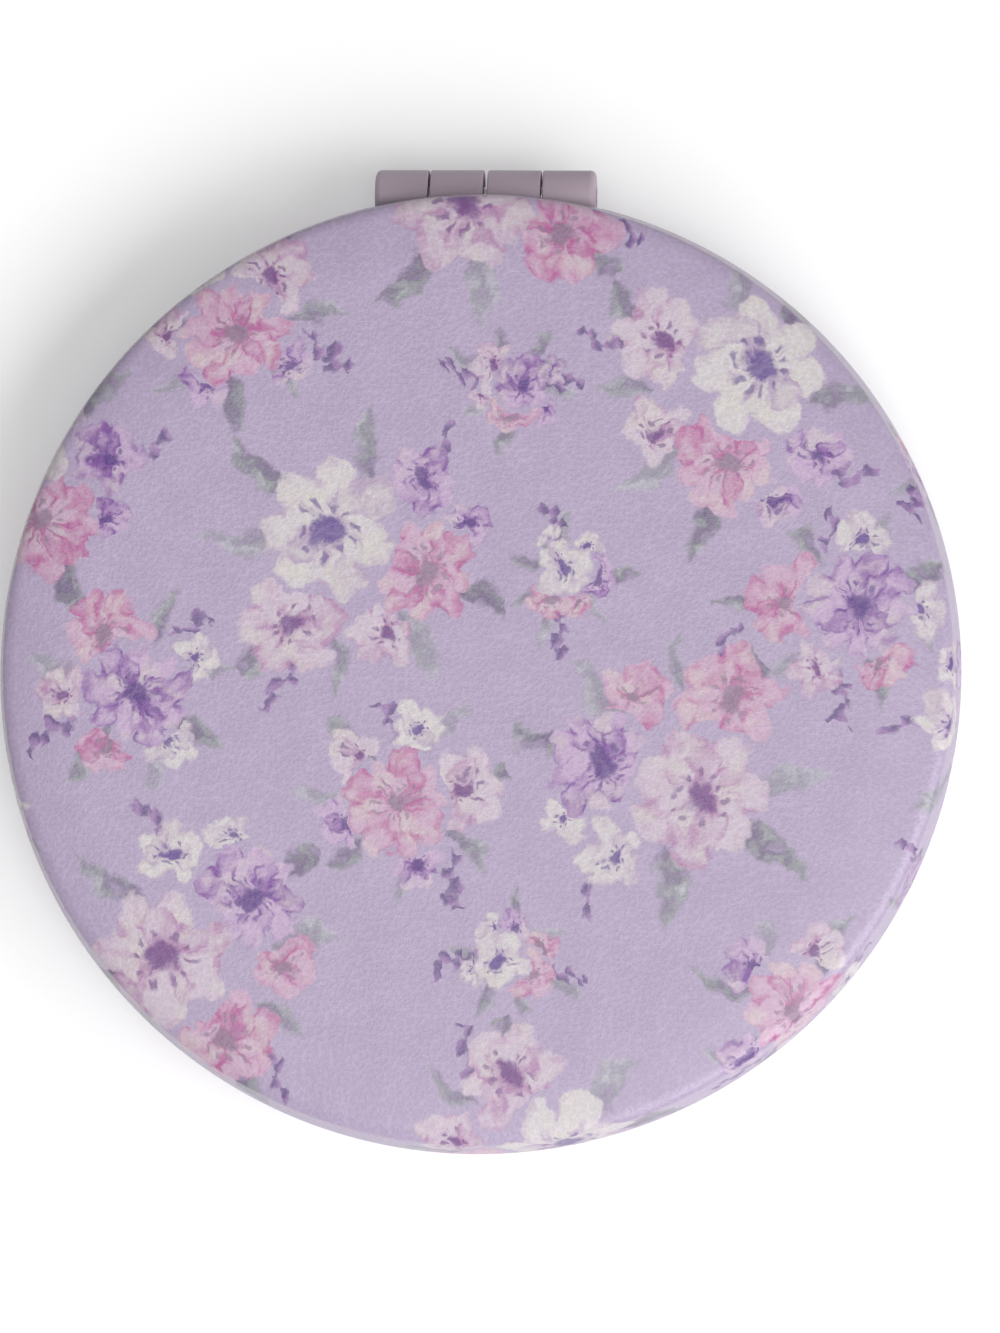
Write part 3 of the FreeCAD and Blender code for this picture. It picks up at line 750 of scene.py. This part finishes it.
FRAME_TOOTH = 0.00010
FRAME_ROUGHNESS = 0.48
frame_light, frame_dark = tint(181, 165, 178), tint(173, 156, 170)
frame_plastic = moulded_plastic("frame_plastic", frame_light, frame_dark, FRAME_TOOTH, FRAME_ROUGHNESS)
for half in HALVES:
    coat_node(f"{half}_frame", frame_plastic)

# Tape: a die-cut disc of white double-sided foam tape in the pocket of each frame.
# The mirror is pressed onto it and hides it.

tape_white = foam("mirror_tape")
for half in HALVES:
    coat_node(f"{half}_mirror_tape", tape_white)

# Mirrors: discs of silvered float glass with a ground bevel, plane in the lid and hollow in the
# base, where it magnifies. The silvering is behind the glass, so the bevel shows it faintly green.
# Each disc lies in its frame's pocket, on the tape.

GLASS_BEVEL = 0.0003
HOLLOW_RADIUS = 0.9
MIRROR_STEPS = 40
mirror_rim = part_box("lid_mirror")[1].x
face_rim = mirror_rim - GLASS_BEVEL


def face_section(level, hollow):
    """Points of a mirror's face from its rim in to its centre, sunk in the middle where hollow."""
    radii = [face_rim * i / MIRROR_STEPS for i in range(MIRROR_STEPS, -1, -1)]
    if not hollow:
        return [(r, level) for r in radii]
    lift = math.sqrt(HOLLOW_RADIUS ** 2 - face_rim ** 2)
    return [(r, level + lift - math.sqrt(HOLLOW_RADIUS ** 2 - r ** 2)) for r in radii]


def silvered_glass(name, rim):
    """A mirror that turns to ground greenish glass near the rim's radius."""
    material, ink, inputs = new_finish(name)
    place = ink.node("ShaderNodeTexCoord", {}, {}, "Object")
    level = place.vector("MULTIPLY", place, (1, 1, 0))
    edge = level.vector("LENGTH", level).rise(rim - 0.0004, rim - 0.0002)
    haze = ink.noise(place, 60.0, 4.0)
    feed(inputs, Base_Color=ink.mix(edge, tint(238, 240, 240), tint(196, 212, 206)),
         Metallic=1 - edge * 0.5, Roughness=edge * 0.25 + haze.rise(0.45, 0.8) * 0.03 + 0.015)
    return material


mirror_glass = silvered_glass("mirror_glass", mirror_rim)
for half in HALVES:
    low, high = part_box(f"{half}_mirror")
    glass_back = low.z if half == "base" else case_thickness - high.z
    glass_front = glass_back + high.z - low.z
    back_rim = (mirror_rim, glass_back)
    glass_section = [(0, glass_back)] + line((0, glass_back), back_rim, 8)
    glass_section += line(back_rim, (mirror_rim, glass_front - GLASS_BEVEL), 2)
    glass_section += face_section(glass_front, half == "base")
    mirror = turned_disc(f"{half}_mirror_disc", half, glass_section, mirror_glass)
    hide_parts(f"{half}_mirror")

# Hinge pin: a length of drawn steel wire, pressed into the base's knuckles, on which the lid's
# knuckles turn. It shows in the gaps between them.


def drawn_steel(name):
    """Drawn wire: fine scratches along the pin."""
    material, ink, inputs = new_finish(name, Metallic=1.0)
    place = ink.node("ShaderNodeTexCoord", {}, {}, "Object")
    scratch = ink.noise(place.vector("MULTIPLY", place, (0.08, 1, 1)), 12000.0, 3.0)
    feed(inputs, Base_Color=ink.mix(scratch, tint(184, 184, 188), tint(214, 214, 216)),
         Roughness=0.2 + scratch * 0.25)
    return material


coat_node("hinge_pin", drawn_steel("pin_steel"))

# Table: a plain matt white sheet that the case lies on. It glows a little, as a light table does,
# so that the outline stays clear on the shaded side.

TABLE_HALF = 1.5
TABLE_WHITE = (0.68, 0.68, 0.68, 1)
TABLE_GLOW = 0.3
table_mesh = bpy.data.meshes.new("table")
corners = [(-TABLE_HALF, -TABLE_HALF, 0), (TABLE_HALF, -TABLE_HALF, 0),
           (TABLE_HALF, TABLE_HALF, 0), (-TABLE_HALF, TABLE_HALF, 0)]
table_mesh.from_pydata(corners, [], [(0, 1, 2, 3)])
table = bpy.data.objects.new("table", table_mesh)
bpy.context.scene.collection.objects.link(table)
table_finish, _, _ = new_finish("table_white", Base_Color=TABLE_WHITE, Roughness=0.9,
                                Emission_Color=(1, 1, 1, 1), Emission_Strength=TABLE_GLOW)
table_mesh.materials.append(table_finish)

# Lights: a broad soft box from the lower right, a small one overhead and an even dim room.
# Only gloss and mirrors see the soft folds of a pale curtain round the room, so that silver
# doesn't look like grey paint.

KEY_PLACE = (1.052, -0.948, 1.486)
KEY_SIZE = (2.2, 1.0)
KEY_POWER = 45.0
TOP_PLACE = (0.05, -0.15, 0.98)
TOP_SIZE = (0.6, 0.6)
TOP_POWER = 3.4
ROOM_LEVEL = 0.115
CURTAIN_LEVEL = 0.42
CURTAIN_SWING = 0.24
CURTAIN_ACROSS = (0.26, 0.97, 0)
CURTAIN_FOLDS = 55
CURTAIN_SWAY = 9


def soft_light(name, place, size, power):
    """A soft box that faces the middle of the case, its width level."""
    lamp = bpy.data.lights.new(name, "AREA")
    lamp.shape = "RECTANGLE"
    lamp.size, lamp.size_y = size
    lamp.energy = power
    light = bpy.data.objects.new(name, lamp)
    light.location = place
    light.rotation_mode = "QUATERNION"
    light.rotation_quaternion = (-Vector(place)).to_track_quat("-Z", "Y")
    bpy.context.scene.collection.objects.link(light)


soft_light("key", KEY_PLACE, KEY_SIZE, KEY_POWER)
soft_light("top", TOP_PLACE, TOP_SIZE, TOP_POWER)
world = bpy.data.worlds.new("studio")
world.use_nodes = True
room = Ink(world.node_tree)
around = room.node("ShaderNodeTexCoord", {}, {}, "Generated")
in_gloss = room.node("ShaderNodeLightPath", {}, {}, "Is Glossy Ray")
sway = room.noise(around, 3.0, 1.0) * CURTAIN_SWAY
folds = room.math("SINE", around.vector("DOT_PRODUCT", around, CURTAIN_ACROSS) * CURTAIN_FOLDS + sway)
pale_curtain = folds * CURTAIN_SWING + CURTAIN_LEVEL
backdrop = world.node_tree.nodes["Background"].inputs
backdrop["Color"].default_value = (1, 1, 1, 1)
feed(backdrop, Strength=ROOM_LEVEL + in_gloss * pale_curtain)
bpy.context.scene.world = world
bpy.context.scene.view_settings.view_transform = "Standard"

# Camera: almost straight above the case, leaning a little to the lower right, hinge at the top.
# The case's round is placed by its centre and radius in the frame, in pixels.

FRAME_WIDTH = 1000
FRAME_HEIGHT = 1333
DISC_CENTRE = (478.2, 670.8)
DISC_RADIUS = 481.7
CAMERA_DISTANCE = 0.38
SENSOR_WIDTH = 36.0
LEAN = math.radians(5.7)
LEAN_TURN = math.radians(40)
ROLL = math.radians(0.5)
rim_height = case_thickness - fold_level
pixel = case_radius / DISC_RADIUS
aim = Vector((pixel * (FRAME_WIDTH / 2 - DISC_CENTRE[0]),
              pixel * (DISC_CENTRE[1] - FRAME_HEIGHT / 2),
              rim_height))
back = Vector((math.sin(LEAN) * math.sin(LEAN_TURN),
               -math.sin(LEAN) * math.cos(LEAN_TURN),
               math.cos(LEAN)))
lens = bpy.data.cameras.new("camera")
lens.sensor_fit = "HORIZONTAL"
lens.sensor_width = SENSOR_WIDTH
lens.lens = SENSOR_WIDTH * CAMERA_DISTANCE / (pixel * FRAME_WIDTH)
lens.clip_start = 0.01
camera = bpy.data.objects.new("camera", lens)
camera.location = aim + back * CAMERA_DISTANCE
right = Vector((math.cos(ROLL), math.sin(ROLL), 0))
up = back.cross(right).normalized()
camera.rotation_mode = "QUATERNION"
camera.rotation_quaternion = Matrix((up.cross(back), up, back)).transposed().to_quaternion()
bpy.context.scene.collection.objects.link(camera)
bpy.context.scene.camera = camera
